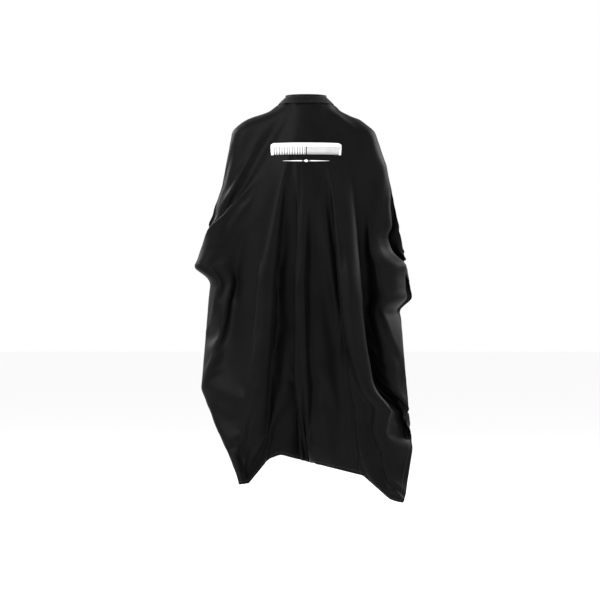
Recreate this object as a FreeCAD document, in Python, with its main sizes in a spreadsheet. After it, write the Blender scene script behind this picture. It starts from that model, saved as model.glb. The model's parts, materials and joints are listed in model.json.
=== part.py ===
"""Barber cape on a wearer's neck: one sheet of cloth hanging from a layered neckband.

Frame: the origin is the centre of the neckband's top edge, +Z is up, -Y is the front, +X is the
wearer's left. The band closes at the back with a tab that snaps onto a row of studs. The cloth
hangs as it does round a standing person: over the shoulders and arms, long in front, short behind.
Lengths are millimetres and angles are degrees.
"""

import FreeCAD
import Part
import Sketcher
import math
import os

Vector = FreeCAD.Vector

# ----------------------------------------------------------------------------- driving dimensions
DIMENSIONS = {
    # neckband
    "neck_radius": 66.0,        # inner wall of the standing lip, a 415 mm neck
    "lip_height": 6.0,          # upright part of the band that grips the neck
    "band_slant": 34.0,         # sloping part of the band
    "flare": 44.0,              # slope of that part below the horizontal
    "lining_thick": 0.7,
    "interlining_thick": 1.0,
    "outer_thick": 0.7,
    "closing_azimuth": 90.0,    # centre back
    "end_gap": 1.6,             # angle between the band's two ends
    "binding_width": 7.0,
    "binding_thick": 0.5,
    "seam_gap": 0.8,            # from the band's lower edge to the cloth
    # snap fasteners
    "snap_slant": 17.0,         # down the slope from the lip to the row of snaps
    "first_snap": 14.0,         # angle from the closing to the first stud
    "snap_pitch": 17.5,         # angle from one stud to the next, 25 mm along the band
    "stud_count": 5.0,
    "cap_count": 2.0,
    "flange_radius": 5.0,
    "flange_thick": 0.5,
    "stud_neck_radius": 1.7,
    "stud_head_radius": 2.0,
    "stud_head_top": 1.8,
    "post_radius": 1.1,
    "post_cap_thick": 0.8,
    "socket_bore": 2.6,
    "socket_thick": 1.6,
    "cap_radius": 6.2,
    "cap_thick": 1.6,
    "cap_shank_radius": 1.5,
    "cap_edge_round": 0.7,
    # closure tab
    "tab_gap": 2.4,             # room between tab and band for the joined snaps
    "tab_start": 0.2,           # angle from the closing to the tab's sewn root
    "tab_angle": 44.0,          # 63 mm along the band
    "tab_top": 2.0,             # down the slope to the tab's upper edge
    "tab_width": 30.0,
    "tab_corner": 12.0,
    # care label
    "label_width": 24.0,
    "label_height": 34.0,
    "label_thick": 0.4,
    "label_azimuth": 66.0,
    "label_drop": 0.5,          # from the band's lower edge down the slope to the label's top
    "label_inset": 1.6,         # in from the band's inner face
    # cape cloth
    "cloth_thick": 2.0,
    "slit_half_angle": 1.6,     # half the opening between the back edges, at the neck
    # print on the chest
    "print_width": 233.0,
    "print_height": 40.0,
    "print_centre": 183.0,      # below the band's top edge
    "rule_width": 153.0,
    "rule_height": 17.0,
    "rule_centre": 223.0,
    "print_gap": 0.15,
    "print_thick": 0.3,
}

# The cloth's outline when worn: where the edge of the sheet hangs, going round the neck from the
# back opening over the wearer's left side (+X), the front and the right side (-X). Each station is
# (azimuth at the neck, X, Y, Z of the edge).
EDGE_STATIONS = [
    (90, 4, 150, -352),
    (84, 26, 153, -357),
    (72, 70, 156, -372),
    (52, 160, 150, -430),
    (33, 270, 112, -560),
    (18, 352, 62, -676),
    (6, 362, 16, -680),
    (-8, 318, -30, -712),
    (-20, 324, -62, -830),
    (-32, 346, -92, -980),
    (-42, 358, -112, -1120),
    (-50, 357, -128, -1230),
    (-57, 330, -150, -1340),
    (-63, 306, -176, -1366),
    (-69, 210, -208, -1262),
    (-78, 110, -226, -1250),
    (-90, 0, -232, -1212),
    (-100, -84, -228, -1190),
    (-108, -160, -208, -1262),
    (-115, -256, -172, -1312),
    (-122, -262, -142, -1206),
    (-131, -326, -118, -1076),
    (-141, -354, -96, -985),
    (-152, -338, -68, -850),
    (-165, -318, -34, -632),
    (-178, -372, 8, -590),
    (-194, -382, 50, -572),
    (-212, -280, 112, -500),
    (-232, -160, 150, -410),
    (-252, -70, 156, -368),
    (-264, -26, 153, -356),
    (-270, -4, 150, -352),
]

# Where the cloth rests before it drops: half width, half depth and height of three ovals that go
# over the shoulders, and the share of the drop at each further row down to the edge.
SHOULDER_OVALS = [
    (148.0, 116.0, -49.0),
    (202.0, 128.0, -70.0),
    (236.0, 134.0, -112.0),
]
DROP_SHARES = [0.16, 0.36, 0.58, 0.80, 1.0]


# ------------------------------------------------------------------------------ document and sheet
doc = FreeCAD.newDocument("barber_cape")
sheet = doc.addObject("Spreadsheet::Sheet", "sheet")
for row, (alias, size) in enumerate(DIMENSIONS.items(), start=1):
    sheet.set(f"A{row}", alias)
    sheet.set(f"B{row}", str(size))
    sheet.setAlias(f"B{row}", alias)
doc.recompute()


def size(alias):
    """A driving dimension as a plain number."""
    return float(sheet.get(alias))


# -------------------------------------------------------------------------- places on the neckband
# A place is a pair of expressions, radius and height, in a plane through the neck's axis.
BAND_THICK = "(sheet.lining_thick + sheet.interlining_thick + sheet.outer_thick)"


def lip_top(depth):
    """On the band's top edge, depth outward from the inner wall."""
    return f"sheet.neck_radius + {depth}", "0"


def lip_foot(depth):
    """Where the upright lip turns into the slope."""
    turn = "(1 - sin(sheet.flare)) / cos(sheet.flare)"
    return f"sheet.neck_radius + {depth}", f"-sheet.lip_height + {depth} * {turn}"


def on_slope(slant, depth):
    """A distance down the slope from the lip, and depth outward at right angles to it."""
    radius = f"sheet.neck_radius + ({slant}) * cos(sheet.flare) + ({depth}) * sin(sheet.flare)"
    height = f"-sheet.lip_height - ({slant}) * sin(sheet.flare) + ({depth}) * cos(sheet.flare)"
    return radius, height


def at_snap(sideways, depth):
    """Beside the axis of a snap, which stands square on the slope."""
    return on_slope(f"sheet.snap_slant + {sideways}", depth)


# ----------------------------------------------------------------------------------- body helpers
def plane_of(body, role):
    """One of a body's own origin planes or axes."""
    for feature in body.Origin.OriginFeatures:
        if feature.Role == role:
            return feature
    raise ValueError(role)


def new_body(label):
    body = doc.addObject("PartDesign::Body", label)
    body.Label = label
    return body


def meridian_sketch(body, name, azimuth):
    """A sketch in the plane through the neck's axis at an azimuth: radius across, height up."""
    sketch = body.newObject("Sketcher::SketchObject", name)
    sketch.AttachmentSupport = [(plane_of(body, "XZ_Plane"), "")]
    sketch.MapMode = "FlatFace"
    sketch.AttachmentOffset = FreeCAD.Placement(Vector(), FreeCAD.Rotation(Vector(0, 1, 0), 1))
    sketch.setExpression("AttachmentOffset.Rotation.Angle", azimuth)
    return sketch


def number(sketch, expression):
    return float(sketch.evalExpression(expression))


def points_of(sketch, corners):
    return [Vector(number(sketch, x), number(sketch, y), 0) for x, y in corners]


def hold_point(sketch, line, end, point, corner):
    """Holds one end of a line at a corner's two expressions."""
    for kind, axis in (("DistanceX", 0), ("DistanceY", 1)):
        index = sketch.addConstraint(Sketcher.Constraint(kind, -1, 1, line, end, point[axis]))
        sketch.setExpression(f"Constraints[{index}]", corner[axis])


def open_profile(sketch, corners, construction=False):
    """Straight lines from corner to corner, each corner held by its two expressions."""
    points = points_of(sketch, corners)
    for start in range(len(points) - 1):
        ends = points[start:start + 2]
        line = sketch.addGeometry(Part.LineSegment(*ends), construction)
        hold_point(sketch, line, 1, points[start], corners[start])
        if start > 0:
            sketch.addConstraint(Sketcher.Constraint("Coincident", line - 1, 2, line, 1))
    hold_point(sketch, line, 2, points[-1], corners[-1])
    return line


def closed_profile(sketch, corners):
    """As open_profile, with a last line back to the first corner."""
    last = open_profile(sketch, corners)
    points = points_of(sketch, corners)
    closing = sketch.addGeometry(Part.LineSegment(points[-1], points[0]), False)
    sketch.addConstraint(Sketcher.Constraint("Coincident", last, 2, closing, 1))
    sketch.addConstraint(Sketcher.Constraint("Coincident", closing, 2, 0, 1))


def snap_axis_line(sketch):
    """A construction line along a snap's axis, to turn a profile about."""
    ends = [at_snap("0", CLEAR_BELOW), at_snap("0", CLEAR_ABOVE)]
    open_profile(sketch, ends, construction=True)


def turned_round_neck(label, corners, azimuth, angle):
    """A strip of constant section that runs round the neck."""
    body = new_body(label)
    sketch = meridian_sketch(body, f"{label}_section", azimuth)
    closed_profile(sketch, corners)
    strip = body.newObject("PartDesign::Revolution", f"{label}_turn")
    strip.Profile = sketch
    strip.ReferenceAxis = (plane_of(body, "Z_Axis"), [""])
    strip.setExpression("Angle", angle)
    doc.recompute()
    return body


def repeat_along_band(body, feature, count):
    """The snaps' even pitch along the band."""
    pattern = body.newObject("PartDesign::PolarPattern", f"{feature.Name}_row")
    pattern.Originals = [feature]
    pattern.Axis = (plane_of(body, "Z_Axis"), [""])
    pattern.setExpression("Angle", f"sheet.snap_pitch * (sheet.{count} - 1)")
    pattern.setExpression("Occurrences", f"sheet.{count}")
    body.Tip = pattern
    doc.recompute()


FIRST_SNAP = "sheet.closing_azimuth + sheet.first_snap"
CLEAR_BELOW = "-5"      # a cut starts and ends well clear of the strip that it goes through
CLEAR_ABOVE = "15"


def pierce(body, count, radius):
    """Round holes for the snaps' shanks, square through the strip."""
    sketch = meridian_sketch(body, f"{body.Label}_hole", FIRST_SNAP)
    corners = [
        at_snap("0", CLEAR_BELOW),
        at_snap(radius, CLEAR_BELOW),
        at_snap(radius, CLEAR_ABOVE),
        at_snap("0", CLEAR_ABOVE),
    ]
    closed_profile(sketch, corners)
    snap_axis_line(sketch)
    hole = body.newObject("PartDesign::Groove", f"{body.Label}_pierced")
    hole.Profile = sketch
    hole.ReferenceAxis = (sketch, ["Axis0"])
    hole.Angle = 360
    doc.recompute()
    repeat_along_band(body, hole, count)


def snap_row(label, count, corners):
    """A row of turned snap pieces, each about its own axis."""
    body = new_body(label)
    sketch = meridian_sketch(body, f"{label}_section", FIRST_SNAP)
    closed_profile(sketch, corners)
    snap_axis_line(sketch)
    piece = body.newObject("PartDesign::Revolution", f"{label}_turn")
    piece.Profile = sketch
    piece.ReferenceAxis = (sketch, ["Axis0"])
    piece.Angle = 360
    doc.recompute()
    repeat_along_band(body, piece, count)
    return body


# ------------------------------------------------------------------------------- neckband pieces
BAND_START = "sheet.closing_azimuth + sheet.end_gap / 2"
BAND_ANGLE = "360 - sheet.end_gap"


def band_layer(label, inner, outer):
    """One layer of the neckband: upright lip above, slope below."""
    corners = [
        lip_top(inner),
        lip_foot(inner),
        on_slope("sheet.band_slant", inner),
        on_slope("sheet.band_slant", outer),
        lip_foot(outer),
        lip_top(outer),
    ]
    body = turned_round_neck(label, corners, BAND_START, BAND_ANGLE)
    pierce(body, "stud_count", "sheet.post_radius")
    return body


def make_neckband():
    lining = "sheet.lining_thick"
    filled = "(sheet.lining_thick + sheet.interlining_thick)"
    return [
        band_layer("neckband_lining", "0", lining),
        band_layer("neckband_interlining", lining, filled),
        band_layer("neckband_outer", filled, BAND_THICK),
    ]


def make_binding():
    """Bias binding inside the band's lower edge, over the seam to the cloth."""
    depth = "-sheet.binding_thick"
    top = "sheet.band_slant - sheet.binding_width"
    corners = [
        on_slope(top, depth),
        on_slope("sheet.band_slant", depth),
        on_slope("sheet.band_slant", "0"),
        on_slope(top, "0"),
    ]
    return turned_round_neck("neck_seam_binding", corners, BAND_START, BAND_ANGLE)


# ----------------------------------------------------------------------------- snap fasteners
def make_studs():
    flange_top = f"{BAND_THICK} + sheet.flange_thick"
    head_top = f"{BAND_THICK} + sheet.stud_head_top"
    head_low = f"({flange_top} + {head_top}) / 2"
    corners = [
        at_snap("sheet.post_radius", BAND_THICK),
        at_snap("sheet.flange_radius", BAND_THICK),
        at_snap("sheet.flange_radius", flange_top),
        at_snap("sheet.stud_neck_radius", flange_top),
        at_snap("sheet.stud_head_radius", head_low),
        at_snap("sheet.stud_neck_radius", head_top),
        at_snap("sheet.post_radius", head_top),
    ]
    return snap_row("snap_studs", "stud_count", corners)


def make_posts():
    """Caps inside the band whose posts hold the studs."""
    head_top = f"{BAND_THICK} + sheet.stud_head_top"
    corners = [
        at_snap("0", "-sheet.post_cap_thick"),
        at_snap("sheet.flange_radius * 0.8", "-sheet.post_cap_thick"),
        at_snap("sheet.flange_radius", "-sheet.post_cap_thick / 2"),
        at_snap("sheet.flange_radius", "0"),
        at_snap("sheet.post_radius", "0"),
        at_snap("sheet.post_radius", head_top),
        at_snap("0", head_top),
    ]
    return snap_row("snap_stud_posts", "stud_count", corners)


TAB_INNER = f"({BAND_THICK} + sheet.tab_gap)"
TAB_OUTER = f"({BAND_THICK} + sheet.tab_gap + {BAND_THICK})"


def make_sockets():
    mouth = f"{TAB_INNER} - sheet.socket_thick"
    corners = [
        at_snap("sheet.socket_bore", mouth),
        at_snap("sheet.flange_radius * 0.86", mouth),
        at_snap("sheet.flange_radius", f"{TAB_INNER} - sheet.socket_thick / 2"),
        at_snap("sheet.flange_radius", TAB_INNER),
        at_snap("sheet.socket_bore", TAB_INNER),
    ]
    return snap_row("snap_sockets", "cap_count", corners)


def make_caps():
    crown = f"{TAB_OUTER} + sheet.cap_thick"
    rim = f"{TAB_OUTER} + sheet.cap_thick * 0.45"
    shoulder = f"{TAB_OUTER} + sheet.cap_thick * 0.85"
    corners = [
        at_snap("0", TAB_INNER),
        at_snap("sheet.cap_shank_radius", TAB_INNER),
        at_snap("sheet.cap_shank_radius", TAB_OUTER),
        at_snap("sheet.cap_radius", TAB_OUTER),
        at_snap("sheet.cap_radius", rim),
        at_snap("sheet.cap_radius - sheet.cap_edge_round", shoulder),
        at_snap("sheet.cap_radius * 0.55", crown),
        at_snap("0", crown),
    ]
    return snap_row("snap_caps", "cap_count", corners)


# --------------------------------------------------------------------------------- closure tab
TAB_START = "sheet.closing_azimuth + sheet.tab_start"
PAST_TAB = "4"          # a corner's cut reaches this far beyond the tab


def tab_end_placement():
    """At the middle of the tab's free end: X along the band, Y up the slope, Z outward."""
    flare = math.radians(size("flare"))
    azimuth = math.radians(size("closing_azimuth") + size("tab_start") + size("tab_angle"))
    outward = Vector(math.cos(azimuth), math.sin(azimuth), 0)
    along = Vector(-math.sin(azimuth), math.cos(azimuth), 0)
    up_slope = outward * -math.cos(flare) + Vector(0, 0, math.sin(flare))
    slant = size("tab_top") + size("tab_width") / 2
    middle = outward * size("neck_radius") - Vector(0, 0, size("lip_height")) - up_slope * slant
    return FreeCAD.Placement(middle, FreeCAD.Rotation(along, up_slope, along.cross(up_slope), "ZXY"))


def round_corner(body, side):
    """Cuts one corner of the tab's free end to a round: side is 1 for the upper, -1 for the lower."""
    name = f"{body.Label}_{'upper' if side > 0 else 'lower'}_corner"
    sketch = body.newObject("Sketcher::SketchObject", name)
    sketch.AttachmentSupport = [(plane_of(body, "XY_Plane"), "")]
    sketch.MapMode = "FlatFace"
    sketch.AttachmentOffset = tab_end_placement()
    edge = f"{side} * sheet.tab_width / 2"
    past_edge = f"{side} * (sheet.tab_width / 2 + {PAST_TAB})"
    turned = f"{side} * (sheet.tab_width / 2 - sheet.tab_corner)"
    corners = [
        ("0", turned),
        (PAST_TAB, turned),
        (PAST_TAB, past_edge),
        ("-sheet.tab_corner", past_edge),
        ("-sheet.tab_corner", edge),
    ]
    open_profile(sketch, corners)
    centre = Vector(-size("tab_corner"), number(sketch, turned), 0)
    arc_ends = (0, 90) if side > 0 else (270, 360)
    circle = Part.Circle(centre, Vector(0, 0, 1), size("tab_corner"))
    arc = sketch.addGeometry(Part.ArcOfCircle(circle, *map(math.radians, arc_ends)), False)
    first, last = (1, 2) if side > 0 else (2, 1)
    sketch.addConstraint(Sketcher.Constraint("Coincident", 0, 1, arc, first))
    sketch.addConstraint(Sketcher.Constraint("Coincident", len(corners) - 2, 2, arc, last))
    radius = sketch.addConstraint(Sketcher.Constraint("Radius", arc, size("tab_corner")))
    sketch.setExpression(f"Constraints[{radius}]", "sheet.tab_corner")
    cut = body.newObject("PartDesign::Pocket", f"{name}_cut")
    cut.Profile = sketch
    cut.Midplane = True
    cut.Length = 2 * float(CLEAR_ABOVE)
    doc.recompute()


def tab_layer(label, inner, outer):
    """One layer of the tab, a strip round the neck whose free end has two rounded corners."""
    low = "sheet.tab_top + sheet.tab_width"
    corners = [
        on_slope("sheet.tab_top", inner),
        on_slope(low, inner),
        on_slope(low, outer),
        on_slope("sheet.tab_top", outer),
    ]
    body = turned_round_neck(label, corners, TAB_START, "sheet.tab_angle")
    for side in (1, -1):
        round_corner(body, side)
    pierce(body, "cap_count", "sheet.cap_shank_radius")
    return body


def make_tab():
    lining = f"({TAB_INNER} + sheet.lining_thick)"
    filled = f"({TAB_INNER} + sheet.lining_thick + sheet.interlining_thick)"
    return [
        tab_layer("closure_tab_lining", TAB_INNER, lining),
        tab_layer("closure_tab_interlining", lining, filled),
        tab_layer("closure_tab_outer", filled, TAB_OUTER),
    ]


# ----------------------------------------------------------------------------------- cape cloth
def band_corner(azimuth, slant, depth):
    """A point on the neckband: down the slope from the lip, and outward at right angles to it."""
    flare = math.radians(size("flare"))
    radius = size("neck_radius") + slant * math.cos(flare) + depth * math.sin(flare)
    height = -size("lip_height") - slant * math.sin(flare) + depth * math.cos(flare)
    return Vector(radius * math.cos(azimuth), radius * math.sin(azimuth), height)


def band_thick():
    return size("lining_thick") + size("interlining_thick") + size("outer_thick")


def station_angle(azimuth):
    """A station's azimuth in radians, drawn in a little near the back so that the edges part."""
    from_front = azimuth + 90
    share = 1 - size("slit_half_angle") / 180
    return math.radians(from_front * share - 90)


def swell(index):
    """How much farther out than the seam's circle a control point lies.

    A smooth curve cuts inside the corners of its control points. This keeps it on the circle, so
    that the cloth never enters the band.
    """
    turns = [station_angle(station[0]) for station in EDGE_STATIONS]
    reaches = [abs(after - before) / 2 for before, after in zip(turns, turns[1:])]
    reaches[0] *= 2
    reaches[-1] *= 2
    if index in (0, len(reaches)):
        return 1.0
    return 1 / math.cos(max(reaches[index - 1], reaches[index]))


def seam_point(index, depth):
    """A control point of the cloth's top edge, just past the band's lower edge."""
    turn = station_angle(EDGE_STATIONS[index][0])
    point = band_corner(turn, size("band_slant") + size("seam_gap"), depth)
    return Vector(point.x * swell(index), point.y * swell(index), point.z)


def cloth_net():
    """Rows of control points from the neck seam to the edge of the sheet, one column a station."""
    net = []
    for index, (azimuth, x, y, z) in enumerate(EDGE_STATIONS):
        turn = station_angle(azimuth)
        column = [seam_point(index, band_thick())]
        column += [Vector(w * math.cos(turn), d * math.sin(turn), h) for w, d, h in SHOULDER_OVALS]
        start = column[-1]
        column += [start + (Vector(x, y, z) - start) * share for share in DROP_SHARES]
        net.append(column)
    return net


def inner_net(net):
    """The same net moved inward along its normals by the cloth's thickness."""
    moved = []
    for i, column in enumerate(net):
        before = net[max(i - 1, 0)]
        after = net[min(i + 1, len(net) - 1)]
        moved_column = [seam_point(i, band_thick() - size("cloth_thick"))]
        for j in range(1, len(column)):
            across = after[j] - before[j]
            down = column[min(j + 1, len(column) - 1)] - column[j - 1]
            normal = across.cross(down)
            normal.normalize()
            moved_column.append(column[j] - normal * size("cloth_thick"))
        moved.append(moved_column)
    return moved


def knots_for(count, degree):
    inner = count - degree
    return [float(k) for k in range(inner + 1)], [degree + 1] + [1] * (inner - 1) + [degree + 1]


def smooth_face(net):
    """A quadratic surface that follows a net of control points."""
    degree = 2
    u_knots, u_mults = knots_for(len(net), degree)
    v_knots, v_mults = knots_for(len(net[0]), degree)
    surface = Part.BSplineSurface()
    surface.buildFromPolesMultsKnots(net, u_mults, v_mults, u_knots, v_knots, False, False, degree, degree)
    return surface


def skin_solid(one, other):
    """The solid between two surfaces that have the same parameters."""
    faces = [one.toShape(), other.toShape()]
    u_low, u_high, v_low, v_high = one.bounds()
    borders = [
        (one.uIso(u_low), other.uIso(u_low)),
        (one.uIso(u_high), other.uIso(u_high)),
        (one.vIso(v_low), other.vIso(v_low)),
        (one.vIso(v_high), other.vIso(v_high)),
    ]
    faces += [Part.makeRuledSurface(a.toShape(), b.toShape()) for a, b in borders]
    shell = Part.Shell(Part.Compound(faces).Faces)
    shell.sewShape()
    solid = Part.Solid(Part.Shell(shell.Faces))
    if solid.Volume < 0:
        solid.reverse()
    return solid


def make_cloth():
    net = cloth_net()
    outer = smooth_face(net)
    inner = smooth_face(inner_net(net))
    cloth = doc.addObject("Part::Feature", "cape_cloth")
    cloth.Label = "cape_cloth"
    cloth.Shape = skin_solid(outer, inner)
    return cloth, outer


# ---------------------------------------------------------------------------------- care label
def make_label():
    """A blank cloth label that hangs inside the back, from the band's lower edge."""
    label = doc.addObject("Part::Box", "care_label")
    label.Label = "care_label"
    label.setExpression("Length", "sheet.label_width")
    label.setExpression("Width", "sheet.label_thick")
    label.setExpression("Height", "sheet.label_height")
    azimuth = math.radians(size("label_azimuth"))
    middle = band_corner(azimuth, size("band_slant") + size("label_drop"), -size("label_inset"))
    turn = FreeCAD.Rotation(Vector(0, 0, 1), size("label_azimuth") - 90)
    corner = turn.multVec(Vector(-size("label_width") / 2, -size("label_thick"), -size("label_height")))
    label.Placement = FreeCAD.Placement(middle + corner, turn)
    return label


# ---------------------------------------------------------------------------- print on the chest
NEAR_CHEST = -150.0     # a first guess at the chest's Y
TRIES = 12              # enough for the guess to settle
PRINT_COLUMNS = 13
PRINT_ROWS = 4


def point_on_chest(surface, x, z):
    """The point of the cloth's face that has this X and Z, and the face's outward normal."""
    y = NEAR_CHEST
    for _ in range(TRIES):
        u, v = surface.parameter(Vector(x, y, z))
        y = surface.value(u, v).y
    normal = surface.normal(u, v)
    if normal.y > 0:
        normal = -normal
    return Vector(x, y, z), normal


def make_print(label, surface, width, height, below):
    """A thin printed patch that lies on the cloth."""
    near, far = [], []
    for i in range(PRINT_COLUMNS):
        x = width * (i / (PRINT_COLUMNS - 1) - 0.5)
        near_column, far_column = [], []
        for j in range(PRINT_ROWS):
            z = -below + height * (0.5 - j / (PRINT_ROWS - 1))
            point, normal = point_on_chest(surface, x, z)
            near_column.append(point + normal * size("print_gap"))
            far_column.append(point + normal * (size("print_gap") + size("print_thick")))
        near.append(near_column)
        far.append(far_column)
    faces = []
    for net in (near, far):
        face = Part.BSplineSurface()
        face.interpolate(net)
        faces.append(face)
    patch = doc.addObject("Part::Feature", label)
    patch.Label = label
    patch.Shape = skin_solid(*faces)
    return patch


# ------------------------------------------------------------------------------ make and write
nodes = make_neckband()
nodes.append(make_binding())
nodes += [make_studs(), make_posts(), make_sockets(), make_caps()]
nodes += make_tab()
nodes.append(make_label())
cape, chest = make_cloth()
nodes.append(cape)
nodes.append(make_print("chest_print", chest, size("print_width"), size("print_height"), size("print_centre")))
nodes.append(make_print("chest_print_rule", chest, size("rule_width"), size("rule_height"), size("rule_centre")))
doc.recompute()

for item in doc.Objects:
    if "Invalid" in item.State or "Error" in item.State:
        raise RuntimeError(f"{item.Label} did not compute: {item.State}")
for node in nodes:
    if node.Shape.isNull() or not node.Shape.isValid():
        raise RuntimeError(f"{node.Label} has no valid shape")

os.makedirs("parts", exist_ok=True)
for node in nodes:
    node.Shape.exportStep(f"parts/{node.Label}.step")
    box = node.Shape.BoundBox
    print(
        f"{node.Label:26s} solids {len(node.Shape.Solids)}  volume {node.Shape.Volume:10.1f}"
        f"  x {box.XMin:8.1f} {box.XMax:8.1f}  y {box.YMin:8.1f} {box.YMax:8.1f}"
        f"  z {box.ZMin:8.1f} {box.ZMax:8.1f}"
    )
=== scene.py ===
"""Looks of the barber cape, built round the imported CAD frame.

The sheet of cloth is draped by simulation over a hidden wearer, then the neckband, closure tab,
snaps, hems, stitching, chest print and label are made on it. Lengths are metres. The frame is the
CAD's: origin at the centre of the neckband's top edge, +Z up, -Y the front, +X the wearer's left.
"""

import json
import math

import bmesh
import bpy
import numpy as np
from mathutils import Matrix, Vector, noise
from mathutils.bvhtree import BVHTree

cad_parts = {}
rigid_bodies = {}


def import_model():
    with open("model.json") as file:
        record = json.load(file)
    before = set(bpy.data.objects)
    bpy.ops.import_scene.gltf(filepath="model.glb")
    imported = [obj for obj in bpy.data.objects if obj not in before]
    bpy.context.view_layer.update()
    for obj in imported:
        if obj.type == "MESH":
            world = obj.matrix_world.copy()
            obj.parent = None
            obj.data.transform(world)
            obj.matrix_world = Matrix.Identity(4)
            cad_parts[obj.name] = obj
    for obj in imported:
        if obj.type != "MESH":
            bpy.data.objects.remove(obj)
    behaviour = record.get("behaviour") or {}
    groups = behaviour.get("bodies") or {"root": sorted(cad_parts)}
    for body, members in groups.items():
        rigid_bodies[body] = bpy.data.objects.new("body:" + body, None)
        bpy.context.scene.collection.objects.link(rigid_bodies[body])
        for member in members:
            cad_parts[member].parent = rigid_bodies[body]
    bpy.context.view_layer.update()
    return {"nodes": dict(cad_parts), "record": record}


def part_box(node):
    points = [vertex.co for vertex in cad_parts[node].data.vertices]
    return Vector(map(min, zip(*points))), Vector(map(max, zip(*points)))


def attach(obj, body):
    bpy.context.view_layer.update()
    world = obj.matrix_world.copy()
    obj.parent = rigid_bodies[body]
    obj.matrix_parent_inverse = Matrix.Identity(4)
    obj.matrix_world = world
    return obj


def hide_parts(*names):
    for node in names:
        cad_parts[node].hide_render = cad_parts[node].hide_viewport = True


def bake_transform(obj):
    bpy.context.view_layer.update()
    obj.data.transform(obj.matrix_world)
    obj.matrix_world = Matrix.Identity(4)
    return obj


for leftover in list(bpy.data.objects):
    bpy.data.objects.remove(leftover)

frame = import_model()
scene = bpy.context.scene

# ------------------------------------------------------------------------------------------ sizes
NECK_MOUNT = frame["record"]["mounts"][0]["dims"]
NECK_RADIUS = NECK_MOUNT["r_mm"] / 1000
LIP_HEIGHT = NECK_MOUNT["length_mm"] / 1000
FLARE = math.radians(44)     # the band's slope below level, under its upright lip
BAND_SLANT = 0.034           # length down that slope
LAYER = 0.0007
FILLING = 0.0010
BAND_THICK = LAYER + FILLING + LAYER
BAND_COLUMNS = 420           # mesh columns round the band
TAB_GAP = 0.0024
CLOSING = math.radians(90)   # the azimuth of the back opening
END_GAP = math.radians(1.6)
TAB_ANGLE = math.radians(44)
TAB_TOP = 0.002
TAB_WIDTH = 0.030
SNAP_SLANT = 0.017
FIRST_SNAP = math.radians(14)
SNAP_PITCH = math.radians(17.5)
STUDS = 5
CAPS = 2
STITCH_INSET = 0.0035        # from an edge to the row of stitches beside it

# the sheet, flat: the neck's centre is the origin, v is negative towards the front
SHEET_RIGHT_SIDE = 0.69      # from the neck's centre to the edge on the wearer's right
SHEET_LEFT_SIDE = 0.77
SHEET_FRONT = 1.27
SHEET_BACK = 0.28
HEM_SHARE = 0.62             # the sheet's width at the front hem, as a share of its full width
TAPER_FROM = -0.25           # the taper starts here
CLOTH_THICK = 0.0005
COARSE_STEP = 0.035
COARSE_FRAMES = 90
FINE_FRAMES = 26
HEM_WIDTH = 0.012

SEAM_SLANT = BAND_SLANT + 0.0004
SEAM_RADIUS = NECK_RADIUS + SEAM_SLANT * math.cos(FLARE) + BAND_THICK / 2 * math.sin(FLARE)
SEAM_HEIGHT = -LIP_HEIGHT - SEAM_SLANT * math.sin(FLARE) + BAND_THICK / 2 * math.cos(FLARE)

CAMERA_DISTANCE = 8.0
CAMERA_X = -0.020
CAMERA_Z = -0.680
VIEW_WIDTH = 2.0             # of the plane through the neck, across the picture
FLOOR_HEIGHT = -1.50         # a standing wearer's floor


# --------------------------------------------------------------------------------- mesh utilities
class MeshMaker:
    """Collects points and faces, then makes one object of them."""

    def __init__(self):
        self.points = []
        self.faces = []

    def add(self, points, faces):
        start = len(self.points)
        self.points += [tuple(p) for p in points]
        self.faces += [tuple(start + k for k in face) for face in faces]

    def rings(self, rings, closed=False):
        """Skins a row of rings that have the same number of points. Open rows get end caps."""
        count = len(rings[0])
        points = [p for ring in rings for p in ring]
        faces = []
        last = len(rings) if closed else len(rings) - 1
        for i in range(last):
            here = i * count
            there = (i + 1) % len(rings) * count
            for k in range(count):
                after = (k + 1) % count
                faces.append((here + k, here + after, there + after, there + k))
        if not closed:
            faces.append(tuple(reversed(range(count))))
            faces.append(tuple(range((len(rings) - 1) * count, len(rings) * count)))
        self.add(points, faces)

    def make(self, name, material, smooth=True):
        mesh = bpy.data.meshes.new(name)
        mesh.from_pydata(self.points, [], self.faces)
        mesh.validate()
        turned = bmesh.new()
        turned.from_mesh(mesh)
        bmesh.ops.recalc_face_normals(turned, faces=turned.faces)
        turned.to_mesh(mesh)
        turned.free()
        mesh.polygons.foreach_set("use_smooth", [smooth] * len(mesh.polygons))
        mesh.materials.append(material)
        piece = bpy.data.objects.new(name, mesh)
        scene.collection.objects.link(piece)
        return piece


def smoothstep(t):
    t = min(1.0, max(0.0, t))
    return t * t * (3 - 2 * t)


def ring_angles(count):
    return [2 * math.pi * k / count for k in range(count)]


def squared(value, power):
    """A sine or cosine pushed outward, so that a round section turns into a soft box."""
    return math.copysign(abs(value) ** power, value)


# ----------------------------------------------------------------------------------- the neckband
def band_frame(azimuth, slant):
    """A point on the band's inner face, its way down the band and its outward normal.

    slant is the distance down from the lip's foot, and is negative on the upright lip.
    """
    radial = Vector((math.cos(azimuth), math.sin(azimuth), 0))
    if slant < 0:
        point = radial * NECK_RADIUS + Vector((0, 0, -LIP_HEIGHT - slant))
        return point, Vector((0, 0, -1)), radial
    down = radial * math.cos(FLARE) - Vector((0, 0, math.sin(FLARE)))
    normal = radial * math.sin(FLARE) + Vector((0, 0, math.cos(FLARE)))
    point = radial * NECK_RADIUS - Vector((0, 0, LIP_HEIGHT)) + down * slant
    return point, down, normal


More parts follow.
